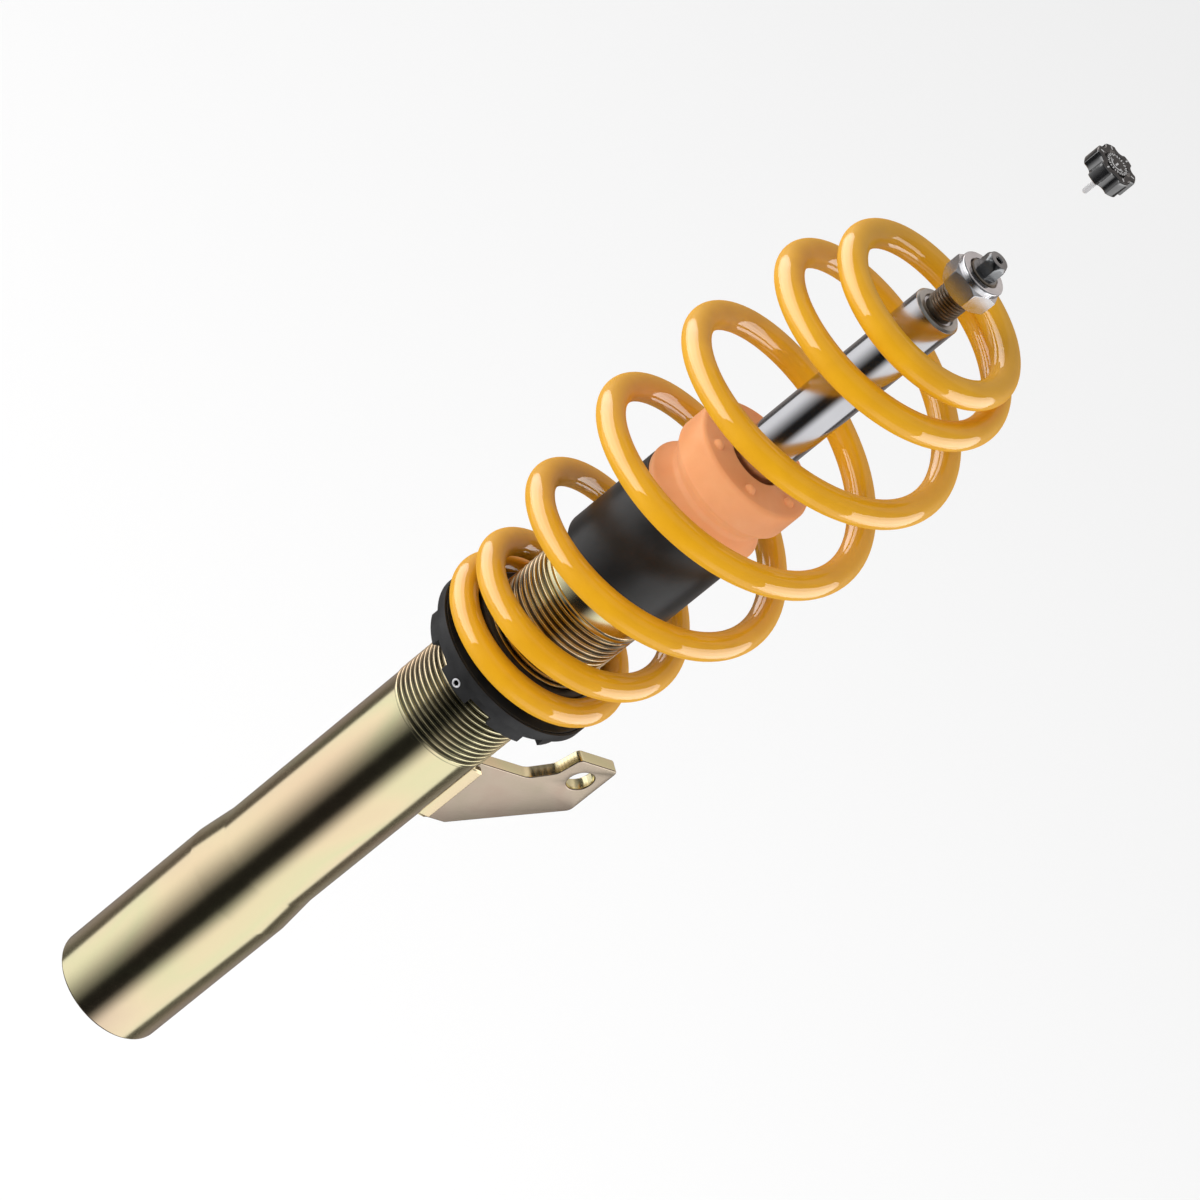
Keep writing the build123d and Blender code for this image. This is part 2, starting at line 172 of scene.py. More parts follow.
# the knob
knob_r = 10.0
knob_lobes = 6
knob_scallop_r = 3.3
knob_scallop_out = 11.5
knob_scallop_bearing = 20.0
knob_rim_top = knob_top - 0.05
knob_recess_r = 5.6
knob_recess_floor = knob_top - 0.8
knob_face_top = knob_top - 0.1
key_flats = 2.0
key_turn = 30.0
key_top = knob_top - 2.0


# ---- materials ----
class Finish:
    """A Principled material and the few procedural nodes that the finishes share."""

    def __init__(self, name, colour, metallic=0.0, roughness=0.5, **sockets):
        self.material = bpy.data.materials.new(name)
        self.material.use_nodes = True
        self.nodes = self.material.node_tree.nodes
        self.links = self.material.node_tree.links
        self.shader = self.nodes["Principled BSDF"]
        self.place = self.nodes.new("ShaderNodeTexCoord").outputs["Object"]
        self.set("Base Color", (*colour, 1.0))
        self.set("Metallic", metallic)
        self.set("Roughness", roughness)
        for socket, value in sockets.items():
            self.set(socket.replace("_", " "), value)

    def set(self, socket, value):
        self.shader.inputs[socket].default_value = value

    def plug(self, output, node, socket):
        self.links.new(output, node.inputs[socket])

    def stretched(self, scale):
        """The place on the object, stretched or flattened along its axes."""
        node = self.nodes.new("ShaderNodeMapping")
        node.inputs["Scale"].default_value = scale
        self.plug(self.place, node, "Vector")
        return node.outputs["Vector"]

    def noise(self, scale, detail=3.0, place=None, distortion=0.0):
        node = self.nodes.new("ShaderNodeTexNoise")
        node.inputs["Scale"].default_value = scale
        node.inputs["Detail"].default_value = detail
        node.inputs["Distortion"].default_value = distortion
        self.plug(place or self.place, node, "Vector")
        return node.outputs["Fac"]

    def turning_marks(self, spacing_mm, wander=0.4):
        """Rings round the axis, as a lathe or a grinding wheel leaves them, spaced along Z."""
        node = self.nodes.new("ShaderNodeTexWave")
        node.bands_direction = "Z"
        node.inputs["Scale"].default_value = pi / (10.0 * spacing_mm * mm)
        node.inputs["Distortion"].default_value = wander
        node.inputs["Detail"].default_value = 2.0
        self.plug(self.place, node, "Vector")
        return node.outputs["Fac"]

    def ramp(self, factor, *stops):
        """Colours along a factor; each stop is (position, (r, g, b))."""
        node = self.nodes.new("ShaderNodeValToRGB")
        while len(node.color_ramp.elements) < len(stops):
            node.color_ramp.elements.new(1.0)
        for element, (position, colour) in zip(node.color_ramp.elements, stops):
            element.position = position
            element.color = (*colour, 1.0)
        self.plug(factor, node, "Fac")
        return node.outputs["Color"]

    def level(self, factor, low, high, start=0.0, end=1.0):
        """Runs from low to high while the factor runs from start to end."""
        node = self.nodes.new("ShaderNodeMapRange")
        node.inputs["From Min"].default_value = start
        node.inputs["From Max"].default_value = end
        node.inputs["To Min"].default_value = low
        node.inputs["To Max"].default_value = high
        self.plug(factor, node, "Value")
        return node.outputs["Result"]

    def colour(self, output):
        self.plug(output, self.shader, "Base Color")
        return self

    def rough(self, output, low, high):
        self.plug(self.level(output, low, high), self.shader, "Roughness")
        return self

    def bump(self, output, depth_mm, strength=1.0):
        node = self.nodes.new("ShaderNodeBump")
        node.inputs["Strength"].default_value = strength
        node.inputs["Distance"].default_value = depth_mm * mm
        self.plug(output, node, "Height")
        if self.shader.inputs["Normal"].is_linked:
            self.plug(self.shader.inputs["Normal"].links[0].from_socket, node, "Normal")
        self.plug(node.outputs["Normal"], self.shader, "Normal")
        return self


def yellow_zinc(name="yellow_zinc", low=0.13, high=0.19):
    """Yellow-passivated zinc: pale gold with faint green and pink interference clouds."""
    finish = Finish(name, (0.8, 0.7, 0.47), metallic=1.0)
    clouds = finish.noise(22.0, 1.5, finish.stretched((1.0, 1.0, 0.35)), distortion=0.4)
    finish.colour(finish.ramp(
        clouds,
        (0.30, (0.90, 0.70, 0.47)),
        (0.42, (0.91, 0.76, 0.49)),
        (0.50, (0.84, 0.78, 0.48)),
        (0.58, (0.91, 0.76, 0.50)),
        (0.70, (0.89, 0.70, 0.50)),
    ))
    finish.rough(finish.noise(150.0, 3.0), low, high)
    return finish


def thread_zinc():
    """The same plating on the thread, with painted shade that darkens the bottom of its grooves."""
    finish = yellow_zinc("thread_zinc", 0.14, 0.22)
    flat = finish.stretched((1.0, 1.0, 0.0))
    radius = finish.nodes.new("ShaderNodeVectorMath")
    radius.operation = "LENGTH"
    finish.plug(flat, radius, 0)
    groove_bottom = (thread_r - 0.85 * thread_depth) * mm
    crest = (thread_r - 0.2 * thread_depth) * mm
    # painted shade: the plating's colour darkens from the crest down to the bottom of the groove
    painted_groove_shade = finish.level(radius.outputs["Value"], 0.15, 1.0, groove_bottom, crest)
    shade = finish.nodes.new("ShaderNodeMix")
    shade.data_type = "RGBA"
    shade.blend_type = "MULTIPLY"
    shade.inputs["Factor"].default_value = 1.0
    plated = finish.shader.inputs["Base Color"].links[0].from_socket
    finish.plug(plated, shade, "A")
    finish.plug(painted_groove_shade, shade, "B")
    finish.colour(shade.outputs["Result"])
    return finish


def weld_zinc():
    """The same plating on the weld, with faint ripples along its run."""
    finish = yellow_zinc("weld_zinc", 0.18, 0.26)
    finish.bump(finish.turning_marks(1.6, 0.8), 0.05, 0.5)
    return finish


def plate_zinc():
    """The same plating on hot-rolled sheet: greyer and rougher."""
    finish = Finish("plate_zinc", (0.5, 0.42, 0.33), metallic=1.0)
    clouds = finish.noise(40.0, distortion=0.5)
    finish.colour(finish.ramp(
        clouds,
        (0.32, (0.54, 0.42, 0.33)),
        (0.50, (0.56, 0.46, 0.36)),
        (0.68, (0.52, 0.44, 0.33)),
    ))
    finish.rough(finish.noise(90.0, 2.0), 0.24, 0.28)
    return finish


def spring_coat():
    """Thick glossy amber powder coat with a little orange peel."""
    finish = Finish("spring_coat", (0.8, 0.39, 0.01), Coat_IOR=2.0, Coat_Roughness=0.02)
    finish.set("Specular IOR Level", 0.12)
    finish.colour(finish.ramp(
        finish.noise(60.0, 2.0),
        (0.35, (0.76, 0.365, 0.005)),
        (0.65, (0.81, 0.40, 0.007)),
    ))
    finish.rough(finish.noise(300.0, 2.0), 0.5, 0.6)
    finish.bump(finish.noise(260.0, 1.0), 0.004, 0.5)
    # the gloss dies away at the wire's outline, which would otherwise mirror the boxes as a white edge
    facing = finish.nodes.new("ShaderNodeLayerWeight").outputs["Facing"]
    gloss = finish.level(facing, 0.4, 0.0, 0.55, 0.9)
    finish.plug(gloss, finish.shader, "Coat Weight")
    return finish


def black_anodised():
    finish = Finish("black_anodised", (0.02, 0.02, 0.021), metallic=0.35)
    finish.colour(finish.ramp(
        finish.noise(150.0, 4.0), (0.3, (0.020, 0.020, 0.021)), (0.7, (0.034, 0.034, 0.035))
    ))
    finish.rough(finish.noise(500.0, 3.0), 0.42, 0.56)
    finish.bump(finish.noise(2600.0, 2.0), 0.02, 0.5)
    return finish


def black_plastic():
    finish = Finish("black_plastic", (0.015, 0.015, 0.015))
    finish.colour(finish.ramp(
        finish.noise(90.0, 3.0), (0.3, (0.012, 0.012, 0.012)), (0.7, (0.020, 0.020, 0.021))
    ))
    finish.rough(finish.noise(240.0, 3.0), 0.27, 0.38)
    finish.bump(finish.noise(1500.0, 2.0), 0.015, 0.4)
    return finish


def bump_foam():
    """Foamed polyurethane: a matt skin with fine closed pores."""
    finish = Finish("bump_foam", (0.9, 0.42, 0.2), Subsurface_Weight=0.2, Subsurface_Scale=0.004)
    finish.set("Subsurface Radius", (1.0, 0.45, 0.25))
    finish.colour(finish.ramp(
        finish.noise(70.0, 4.0),
        (0.30, (0.88, 0.39, 0.165)),
        (0.55, (0.92, 0.43, 0.19)),
        (0.75, (0.95, 0.47, 0.22)),
    ))
    finish.rough(finish.noise(300.0, 3.0), 0.42, 0.58)
    finish.bump(finish.noise(1600.0, 3.0), 0.02, 0.5)
    return finish


def rod_chrome():
    """Hard chrome, ground round the rod."""
    finish = Finish("rod_chrome", (0.86, 0.86, 0.88), metallic=1.0)
    finish.colour(finish.ramp(
        finish.noise(30.0, 2.0), (0.3, (0.60, 0.60, 0.63)), (0.7, (0.67, 0.67, 0.69))
    ))
    finish.rough(finish.turning_marks(0.9, 3.0), 0.11, 0.16)
    finish.bump(finish.turning_marks(0.35, 2.0), 0.001, 0.4)
    return finish


def machined(name, dark, light, spacing_mm=0.6, low=0.22, high=0.38, metallic=1.0):
    """Turned steel: tool marks round the axis and slight staining."""
    finish = Finish(name, light, metallic)
    finish.colour(finish.ramp(finish.noise(120.0, 4.0), (0.32, dark), (0.68, light)))
    finish.rough(finish.noise(350.0, 3.0), low, high)
    finish.bump(finish.turning_marks(spacing_mm, 1.0), 0.01, 0.5)
    return finish


def seal_rubber():
    finish = Finish("seal_rubber", (0.02, 0.02, 0.02))
    finish.colour(finish.ramp(
        finish.noise(200.0), (0.3, (0.015, 0.015, 0.015)), (0.7, (0.03, 0.03, 0.03))
    ))
    finish.rough(finish.noise(400.0), 0.6, 0.8)
    return finish


def ptfe_band():
    """Bronze-filled PTFE: brown and speckled."""
    finish = Finish("ptfe_band", (0.2, 0.15, 0.1))
    finish.colour(finish.ramp(
        finish.noise(900.0, 4.0), (0.35, (0.16, 0.12, 0.075)), (0.65, (0.27, 0.20, 0.13))
    ))
    finish.rough(finish.noise(500.0), 0.45, 0.6)
    return finish


def knob_plastic(name="knob_plastic", low=0.08, high=0.15, gloss=1.0):
    """Black moulded plastic: polished on the knob's sides, and with no gloss on its face."""
    finish = Finish(name, (0.012, 0.012, 0.013), Coat_Weight=gloss, Coat_IOR=2.2, Coat_Roughness=0.1)
    finish.colour(finish.ramp(
        finish.noise(400.0), (0.3, (0.009, 0.009, 0.010)), (0.7, (0.017, 0.017, 0.018))
    ))
    finish.rough(finish.noise(900.0, 3.0), low, high)
    finish.bump(finish.noise(2500.0, 2.0), 0.006, 0.4)
    return finish


def white_print():
    finish = Finish("white_print", (0.8, 0.8, 0.8), roughness=0.5)
    finish.colour(finish.ramp(finish.noise(3000.0), (0.3, (0.55, 0.55, 0.55)), (0.6, (0.82, 0.82, 0.82))))
    return finish


finishes = {
    "yellow_zinc": yellow_zinc(),
    "thread_zinc": thread_zinc(),
    "plate_zinc": plate_zinc(),
    "weld_zinc": weld_zinc(),
    "spring_coat": spring_coat(),
    "black_anodised": black_anodised(),
    "black_plastic": black_plastic(),
    "bump_foam": bump_foam(),
    "rod_chrome": rod_chrome(),
    "stud_steel": machined("stud_steel", (0.20, 0.17, 0.14), (0.36, 0.32, 0.27), 0.3, 0.3, 0.45),
    "tip_steel": machined("tip_steel", (0.20, 0.205, 0.21), (0.36, 0.37, 0.38), 0.5, 0.18, 0.3),
    "face_steel": machined("face_steel", (0.45, 0.44, 0.42), (0.62, 0.61, 0.58), 0.4, 0.3, 0.4),
    "zinc_nut": machined("zinc_nut", (0.70, 0.70, 0.73), (0.86, 0.86, 0.89), 0.8, 0.16, 0.28),
    "bare_steel": machined("bare_steel", (0.42, 0.42, 0.43), (0.6, 0.6, 0.62)),
    "screw_steel": machined("screw_steel", (0.8, 0.8, 0.82), (0.92, 0.92, 0.94), 0.2, 0.25, 0.35, 0.45),
    "soft_brass": machined("soft_brass", (0.62, 0.42, 0.14), (0.78, 0.58, 0.24), 0.3),
    "seal_rubber": seal_rubber(),
    "ptfe_band": ptfe_band(),
    "knob_plastic": knob_plastic(),
    "knob_face": knob_plastic("knob_face", 0.3, 0.42, 0.0),
    "white_print": white_print(),
}


# ---- mesh helpers ----
def bearing_point(radius, bearing, height=0.0):
    return Vector((radius * sin(radians(bearing)), -radius * cos(radians(bearing)), height))


def rounded(*corners, steps=4):
    """An outline of (x, y, radius) corners, with each corner's radius cut as an arc."""
    points = []
    for i, (x, y, radius) in enumerate(corners):
        corner = Vector((x, y))
        before = Vector(corners[i - 1][:2]) - corner
        after = Vector(corners[(i + 1) % len(corners)][:2]) - corner
        if radius == 0.0:
            points.append(corner)
            continue
        half = before.angle(after) / 2
        reach = min(radius / tan(half), 0.48 * before.length, 0.48 * after.length)
        toward = (before.normalized() + after.normalized()).normalized()
        centre = corner + toward * (reach / cos(half))
        start = corner + before.normalized() * reach - centre
        end = corner + after.normalized() * reach - centre
        sweep = start.angle(end)
        for k in range(steps + 1):
            share = k / steps
            arm = start * sin((1 - share) * sweep) + end * sin(share * sweep)
            points.append(centre + arm / sin(sweep))
    return [tuple(p) for p in points]


def straight_rows(start, end, step):
    """Points from start to end, both (radius, height), about a step apart."""
    start, end = Vector(start), Vector(end)
    count = max(1, round((end - start).length / step))
    return [tuple(start.lerp(end, i / count)) for i in range(count + 1)]


def finish_mesh(bm, name, materials, sharp_above=35.0):
    """Cleans a mesh, turns its faces outwards and makes its object."""
    bmesh.ops.remove_doubles(bm, verts=bm.verts, dist=2e-6)
    bmesh.ops.dissolve_degenerate(bm, edges=bm.edges, dist=1e-6)
    bmesh.ops.recalc_face_normals(bm, faces=bm.faces)
    mesh = bpy.data.meshes.new(name)
    bm.to_mesh(mesh)
    bm.free()
    mesh.shade_smooth()
    mesh.set_sharp_from_angle(angle=radians(sharp_above))
    piece = bpy.data.objects.new(name, mesh)
    bpy.context.scene.collection.objects.link(piece)
    for key in materials:
        mesh.materials.append(finishes[key].material)
    return piece


def grid_mesh(rows, closed_rows):
    """A mesh of rings: rows is (count, columns, 3) in millimetres, each ring closed on itself."""
    count, columns, _ = rows.shape
    bm = bmesh.new()
    vertices = [bm.verts.new(co) for co in (rows.reshape(-1, 3) * mm).tolist()]
    for i in range(count if closed_rows else count - 1):
        for c in range(columns):
            d = (c + 1) % columns
            j = (i + 1) % count
            bm.faces.new((vertices[i * columns + c], vertices[i * columns + d],
                          vertices[j * columns + d], vertices[j * columns + c]))
    return bm


def turned_mesh(outline, columns=128, shape=None):
    """A solid of revolution from an outline of (radius, height).

    shape(r, z, angles) can change a ring: it returns its radii and heights, each one number or an array.
    """
    angles = np.arange(columns) * 2 * pi / columns
    rings = []
    for r, z in outline:
        radii, heights = shape(r, z, angles) if shape else (r, z)
        ring = np.broadcast_arrays(radii * np.sin(angles), -radii * np.cos(angles), heights)
        rings.append(np.stack(ring, axis=1))
    touches_axis = outline[0][0] == 0.0 and outline[-1][0] == 0.0
    return grid_mesh(np.array(rings), not touches_axis)


def cap_ends(bm, columns):
    """Closes the first and the last ring of a tube."""
    bm.verts.ensure_lookup_table()
    bm.faces.new(bm.verts[:columns])
    bm.faces.new(bm.verts[len(bm.verts) - columns:])


def turned(name, outline, finish, columns=128, shape=None, sharp_above=35.0):
    return finish_mesh(turned_mesh(outline, columns, shape), name, [finish], sharp_above)


def hexagon_radius(angles, flats, turn):
    """How far a hexagon reaches at each bearing; turn is the bearing of a corner."""
    from_flat = (angles - radians(turn)) % (pi / 3) - pi / 6
    return flats / 2 / np.cos(from_flat)


def ease(x):
    x = np.clip(x, 0.0, 1.0)
    return x * x * (3.0 - 2.0 * x)


def groove(phase, width):
    """0 on a thread's crest and 1 at the bottom of its groove; width is half the groove's, in turns."""
    away = np.abs(phase % 1.0 - 0.5)
    return ease((width - away) / (0.8 * width))


def facing_out(radius, bearing, height):
    """The place at a point round the strut, turned so that its own Z looks outwards."""
    turn = bearing_point(1.0, bearing).to_track_quat("Z", "Y").to_matrix().to_4x4()
    return Matrix.Translation(bearing_point(radius, bearing, height) * mm) @ turn


def paint(piece, choose):
    """Gives each face the material slot that choose(centre in mm, normal) names."""
    for face in piece.data.polygons:
        face.material_index = int(choose(face.center / mm, face.normal))


def evaluated_mesh(piece):
    """A new mesh of the piece, with its curve or its modifiers worked out."""
    graph = bpy.context.evaluated_depsgraph_get()
    return bpy.data.meshes.new_from_object(piece.evaluated_get(graph), depsgraph=graph)


def settle(piece, body, slot, *nodes):
    """A finished piece stands for its CAD nodes and rides on their body."""
    if nodes:
        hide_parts(*nodes)
    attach(piece, body)
    return piece


# ---- strut housing ----
def strut_tube():
    def threaded(r, z, angles):
        """The helical thread, running out at both ends."""
        if r <= neck_r + 0.2 or not thread_bottom - 3.0 < z < thread_top + 3.0:
            return r, z
        phase = (z - thread_bottom) / thread_pitch - angles / (2 * pi)
        fade = ease((z - thread_bottom + 0.3) / 0.9) * ease((thread_top + 0.4 - z) / 0.9)
        return r - thread_depth * groove(phase, 0.42) * fade, z

    def on_thread(centre, _):
        return thread_bottom - 0.6 < centre.z < thread_top + 0.6 and centre.xy.length > neck_r - 0.4

    body = rounded(
        (housing_bore_r, tube_bottom, 0.3),
        (clamp_r, tube_bottom, 1.3),
        (clamp_r, clamp_top, 12.0),
        (body_r, taper_top, 12.0),
        (body_r, ramp_bottom, 0.8),
        (thread_r, ramp_top, 0.6),
    )
    thread = straight_rows((thread_r, ramp_top + 0.3), (thread_r, thread_top + 1.0), 0.25)
    neck = rounded(
        (thread_r, thread_top + 1.2, 0.3),
        (neck_r, thread_top + 2.6, 0.6),
        (neck_r, tube_top, 1.0),
        (housing_bore_r, tube_top, 0.2),
    )
    bm = turned_mesh(body + thread + neck, 160, threaded)
    piece = finish_mesh(bm, "strut_tube", ["yellow_zinc", "thread_zinc"], 50.0)
    paint(piece, on_thread)
    return settle(piece, "housing", "yellow_zinc", "strut_housing_tube")


plate_normal = bearing_point(1.0, plate_turn)
plate_outward = bearing_point(1.0, plate_turn + 90.0)
root_out = sqrt(body_r ** 2 - plate_offset ** 2)


def on_plate(out, offset, height):
    """A point by its distance out along the plate, its offset from the strut's axis and its height."""
    return plate_outward * out + plate_normal * offset + Vector((0.0, 0.0, height))


def flat_plate(*loops):
    """A plate's mesh, centred on the XY plane, from its outline and its holes."""
    curve = bpy.data.curves.new("bracket", "CURVE")
    curve.dimensions = "2D"
    curve.fill_mode = "BOTH"
    curve.extrude = (plate_thickness / 2 - plate_edge_round) * mm
    curve.bevel_depth = plate_edge_round * mm
    curve.bevel_resolution = 3
    curve.offset = -plate_edge_round * mm
    for loop in loops:
        spline = curve.splines.new("POLY")
        spline.points.add(len(loop) - 1)
        for point, (x, y) in zip(spline.points, loop):
            point.co = (x * mm, y * mm, 0.0, 1.0)
        spline.use_cyclic_u = True
    flat = bpy.data.objects.new("bracket_curve", curve)
    bpy.context.scene.collection.objects.link(flat)
    mesh = evaluated_mesh(flat)
    bpy.data.objects.remove(flat)
    bm = bmesh.new()
    bm.from_mesh(mesh)
    bpy.data.meshes.remove(mesh)
    return bm


def bracket():
    """A hooked plate with a hole for the drop link; its root follows the tube."""
    outline = rounded(
        (root_out - 2.0, plate_bottom, 0.0),
        (plate_foot_out, plate_bottom, 2.0),
        (plate_tip_out, plate_tip_bottom, 4.0),
        (plate_tip_out, hook_top, 2.6),
        (hook_out, hook_top, 2.6),
        (notch_out, notch_height, 6.0),
        (plate_shelf_out, plate_top, 7.0),
        (root_out - 2.0, plate_top, 0.0),
        steps=8,
    )
    hole = []
    for angle in np.linspace(0.0, 2 * pi, 64, endpoint=False):
        hole.append((link_hole_out + link_hole_r * cos(angle), link_hole_height + link_hole_r * sin(angle)))
    bm = flat_plate(outline, hole)
    for vertex in bm.verts:
        out, up, across = vertex.co / mm
        offset = plate_offset - plate_thickness / 2 + across
        if out < root_out + 1.0:
            out = sqrt((body_r - 0.5) ** 2 - offset ** 2)
        vertex.co = on_plate(out, offset, up) * mm
    piece = finish_mesh(bm, "link_bracket", ["plate_zinc", "weld_zinc"], 30.0)
    paint(piece, lambda _, normal: abs(normal.dot(plate_normal)) < 0.5)
    return settle(piece, "housing", "yellow_zinc", "bracket_plate")


def weld_bead():
    """The flat raised weld run in the corner between the tube and the plate."""
    bottom = plate_bottom + 1.4
    top = plate_top - 2.8
    corner = on_plate(root_out, plate_offset, 0.0)
    root_bearing = plate_turn + 90.0 - degrees(asin(plate_offset / body_r))
    # the section goes from the toe on the tube, over the strip, to the toe on the plate
    section = [bearing_point(body_r - 0.1, root_bearing - degrees(weld_leg / body_r))]
    for out, rise in (
        (-0.1, 1.1), (0.3, 1.25), (weld_leg - 1.0, 2.1), (weld_leg - 0.4, 2.0),
        (weld_leg - 0.1, 1.6), (weld_leg, -0.1),
    ):
        section.append(on_plate(root_out + out, plate_offset + rise, 0.0))
    inside = on_plate(root_out - 0.6, plate_offset - 1.2, 0.0)
    rows = []
    for z in np.arange(bottom, top, 0.3):
        taper = 0.72 + 0.28 * ease(min(z - bottom, top - z) / 1.6)
        ring = [corner + (point - corner) * taper for point in section]
        rows.append([(*point.xy, z) for point in [*ring, inside]])
    bm = grid_mesh(np.array(rows), False)
    cap_ends(bm, len(section) + 1)
    piece = finish_mesh(bm, "weld_bead", ["weld_zinc"], 30.0)
    return settle(piece, "housing", "yellow_zinc", "bracket_weld")


# ---- collar, set screw, spring seat ----
def cutter(bm, place):
    """A loose object to cut out of the collar."""
    bmesh.ops.transform(bm, matrix=place, verts=bm.verts)
    mesh = bpy.data.meshes.new("cutter")
    bm.to_mesh(mesh)
    bm.free()
    return bpy.data.objects.new("cutter", mesh)


def slot_cutter(bearing):
    """The space of one spanner slot in the collar's lower edge."""
    bm = bmesh.new()
    bmesh.ops.create_cube(bm, size=1.0)
    size = Vector((slot_width, collar_neck_r, 2 * slot_height)) * mm
    place = Matrix.Translation(bearing_point(collar_neck_r, 0.0, collar_bottom) * mm)
    turn = Matrix.Rotation(radians(bearing), 4, "Z")
    return cutter(bm, turn @ place @ Matrix.Diagonal((*size, 1.0)))


def screw_hole_cutter():
    bm = bmesh.new()
    radius = set_screw_r * mm
    bmesh.ops.create_cone(bm, segments=48, cap_ends=True, radius1=radius, radius2=radius, depth=20.0 * mm)
    return cutter(bm, facing_out(collar_neck_r, tooth_bearing, set_screw_height))


def adjuster_collar():
    """A slotted neck under a flange, with a rim round the spring's seat."""
    rim_r = seat_r + 0.35
    outline = [
        (collar_bore_r, collar_bottom),
        (collar_neck_r, collar_bottom),
        (collar_neck_r, flange_bottom),
        (flange_r, flange_bottom + 0.5),
        (flange_r, collar_top),
        (rim_r, collar_top),
        (rim_r, seat_bottom - 0.1),
        (collar_bore_r, seat_bottom - 0.1),
    ]
    piece = turned("adjuster_collar", outline, "black_anodised", 144)
    first_slot = tooth_bearing + 180.0 / slot_count
    tools = [slot_cutter(first_slot + i * 360.0 / slot_count) for i in range(slot_count)]
    tools.append(screw_hole_cutter())
    for tool in tools:
        bpy.context.scene.collection.objects.link(tool)
        cut = piece.modifiers.new("cut", "BOOLEAN")
        cut.operation = "DIFFERENCE"
        cut.solver = "EXACT"
        cut.object = tool
    bevel = piece.modifiers.new("bevel", "BEVEL")
    bevel.width = 0.45 * mm
    bevel.segments = 3
    bevel.angle_limit = radians(40.0)
    mesh = evaluated_mesh(piece)
    piece.modifiers.clear()
    piece.data = mesh
    for tool in tools:
        bpy.data.objects.remove(tool)
    mesh.shade_smooth()
    mesh.set_sharp_from_angle(angle=radians(38.0))
    return settle(piece, "collar", "black_anodised", "adjuster_collar")


def set_screw():
    """A bright chamfered rim round a hexagon socket, whose darker steel is painted shade in the hole."""
    def socket(r, z, angles):
        if 0.0 < r < set_screw_socket_r + 0.1:
            return np.minimum(hexagon_radius(angles, 2.0, 0.0), r), z
        return r, z

    outward = bearing_point(1.0, tooth_bearing)

    def in_shaded_socket(centre, _):
        from_axis = centre - Vector((0.0, 0.0, set_screw_height))
        from_axis -= outward * from_axis.dot(outward)
        return from_axis.length < set_screw_socket_r + 0.02

    length = collar_neck_r - set_screw_root
    outline = rounded(
        (0.0, 0.0, 0.0),
        (set_screw_r - 0.7, 0.0, 0.0),
        (set_screw_r - 0.03, 0.6, 0.2),
        (set_screw_r - 0.03, length + 0.3, 0.38),
        (set_screw_socket_r + 0.2, length + 0.3, 0.35),
        (set_screw_socket_r, length - 0.2, 0.0),
        (set_screw_socket_r, length - 2.4, 0.0),
        (0.0, length - 2.8, 0.0),
    )
    bm = turned_mesh(outline, 96, socket)
    place = facing_out(set_screw_root, tooth_bearing, set_screw_height)
    bmesh.ops.transform(bm, matrix=place, verts=bm.verts)
    piece = finish_mesh(bm, "set_screw", ["screw_steel", "tip_steel"], 30.0)
    # the socket's faces get the darker tip steel as painted shade
    paint(piece, in_shaded_socket)
    return settle(piece, "collar", "screw_steel", "collar_set_screw")


def spring_seat():
    outline = rounded(
        (seat_bore_r, seat_bottom, 0.3),
        (seat_r, seat_bottom, 0.3),
        (seat_r, collar_top, 0.4),
        (seat_lip_r, collar_top, 0.8),
        (seat_lip_r, lip_top, 1.2),
        (seat_bore_r, lip_top, 1.0),
    )
    piece = turned("spring_seat", outline, "black_plastic")
    return settle(piece, "seat", "black_plastic", "spring_seat_ring")


# ---- spring ----
def middle_share(turn, grows, shrinks):
    """0 at the coil's two ends and 1 along its middle."""
    rising = ease((turn - grows[0]) / (grows[1] - grows[0]))
    return rising * ease((shrinks[1] - turn) / (shrinks[1] - shrinks[0]))


def coil_spring():
    """Round wire along the coil, its closed end turns at a small pitch and its open middle turns at a large
    one.
    """
    per_turn = 96
    columns = 40
    count = round((coil_last_turn - coil_first_turn) * per_turn) + 1
    turns = coil_first_turn + np.arange(count) / per_turn
    wide = middle_share(turns, coil_radius_grows, coil_radius_shrinks)
    radii = coil_end_r + (coil_middle_r - coil_end_r) * wide
    opened = middle_share(turns + 0.5 / per_turn, coil_pitch_grows, coil_pitch_shrinks)
    extra_pitch = (coil_middle_pitch - coil_end_pitch) * opened
    climbed = np.concatenate([[0.0], np.cumsum(extra_pitch)[:-1]]) / per_turn
    heights = coil_start_height + climbed + coil_end_pitch * (turns - coil_first_turn)
    bearings = np.radians(-90.0 + 360.0 * turns)
    path = np.stack([radii * np.sin(bearings), -radii * np.cos(bearings), heights], axis=1)
    along = np.gradient(path, axis=0)
    along /= np.linalg.norm(along, axis=1)[:, None]
    across = np.cross(along, [0.0, 0.0, 1.0])
    across /= np.linalg.norm(across, axis=1)[:, None]
    upward = np.cross(across, along)
    angles = np.arange(columns) * 2 * pi / columns
    sideways = np.cos(angles)[None, :, None] * across[:, None]
    circle = sideways + np.sin(angles)[None, :, None] * upward[:, None]
    rows = path[:, None] + wire_r * circle
    ends = []
    for i, inwards in ((0, 1.0), (-1, -1.0)):
        step = inwards * wire_chamfer * along[i]
        rows[i] += step
        ends.append(rows[i] - step - wire_chamfer * circle[i])
    rows = np.concatenate([ends[0][None], rows, ends[1][None]])
    share = climbed / climbed[-1]
    share = np.concatenate([share[:1], share, share[-1:]])
    bm = grid_mesh(rows, False)
    cap_ends(bm, columns)
    piece = finish_mesh(bm, "coil_spring", ["spring_coat"], 30.0)
    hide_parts("coil_spring")
    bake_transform(piece)
    # Each ring of the wire has a share: how much of the open pitch lies below it.
    return piece


# ---- dust tube and bump stop ----
def dust_tube():
    outline = rounded(
        (dust_bore_r, dust_bottom, 0.4),
        (dust_r, dust_bottom, 0.6),
        (dust_r, dust_top, 0.7),
        (dust_bore_r, dust_top, 0.3),
    )
    piece = turned("dust_tube", outline, "black_plastic", 160)
    return settle(piece, "boot", "black_plastic", "dust_tube")


